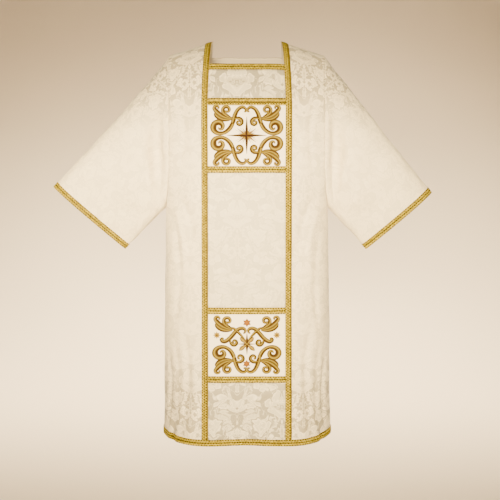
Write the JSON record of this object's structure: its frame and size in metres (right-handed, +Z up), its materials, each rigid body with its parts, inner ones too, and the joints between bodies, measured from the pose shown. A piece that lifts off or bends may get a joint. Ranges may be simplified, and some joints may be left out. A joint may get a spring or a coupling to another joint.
{
  "type": "dalmatic",
  "caption": "Cream damask dalmatic with wide open sleeves, gold galloon and two embroidered squares down a centre column, worn shape with no wearer.",
  "frame": {"origin": "middle of the neck opening, level with the inside of the cloth on the shoulder seams, where the wearer's shoulders hold the garment up", "axes": "+Z up, -Y the front of the garment, +X the wearer's left"},
  "size_m": [1.2131, 0.3337, 1.265],
  "materials": {
    "cream_damask": "satin",
    "column_damask": "satin",
    "white_satin": "satin",
    "gold_galloon": "metallic thread"
  },
  "bodies": {
    "root": {"front_panel": "cream_damask", "back_panel": "cream_damask", "sleeve_left": "cream_damask", "sleeve_right": "cream_damask", "column_chest": "column_damask", "column_middle": "column_damask", "column_lower": "column_damask", "square_upper": "white_satin", "square_lower": "white_satin", "galloon_neck_front": "gold_galloon", "galloon_neck_back": "gold_galloon", "galloon_bar_2": "gold_galloon", "galloon_bar_3": "gold_galloon", "galloon_bar_4": "gold_galloon", "galloon_bar_5": "gold_galloon", "galloon_left": "gold_galloon", "galloon_right": "gold_galloon", "galloon_hem": "gold_galloon", "galloon_cuff_left": "gold_galloon", "galloon_cuff_right": "gold_galloon"}
  },
  "joints": []
}
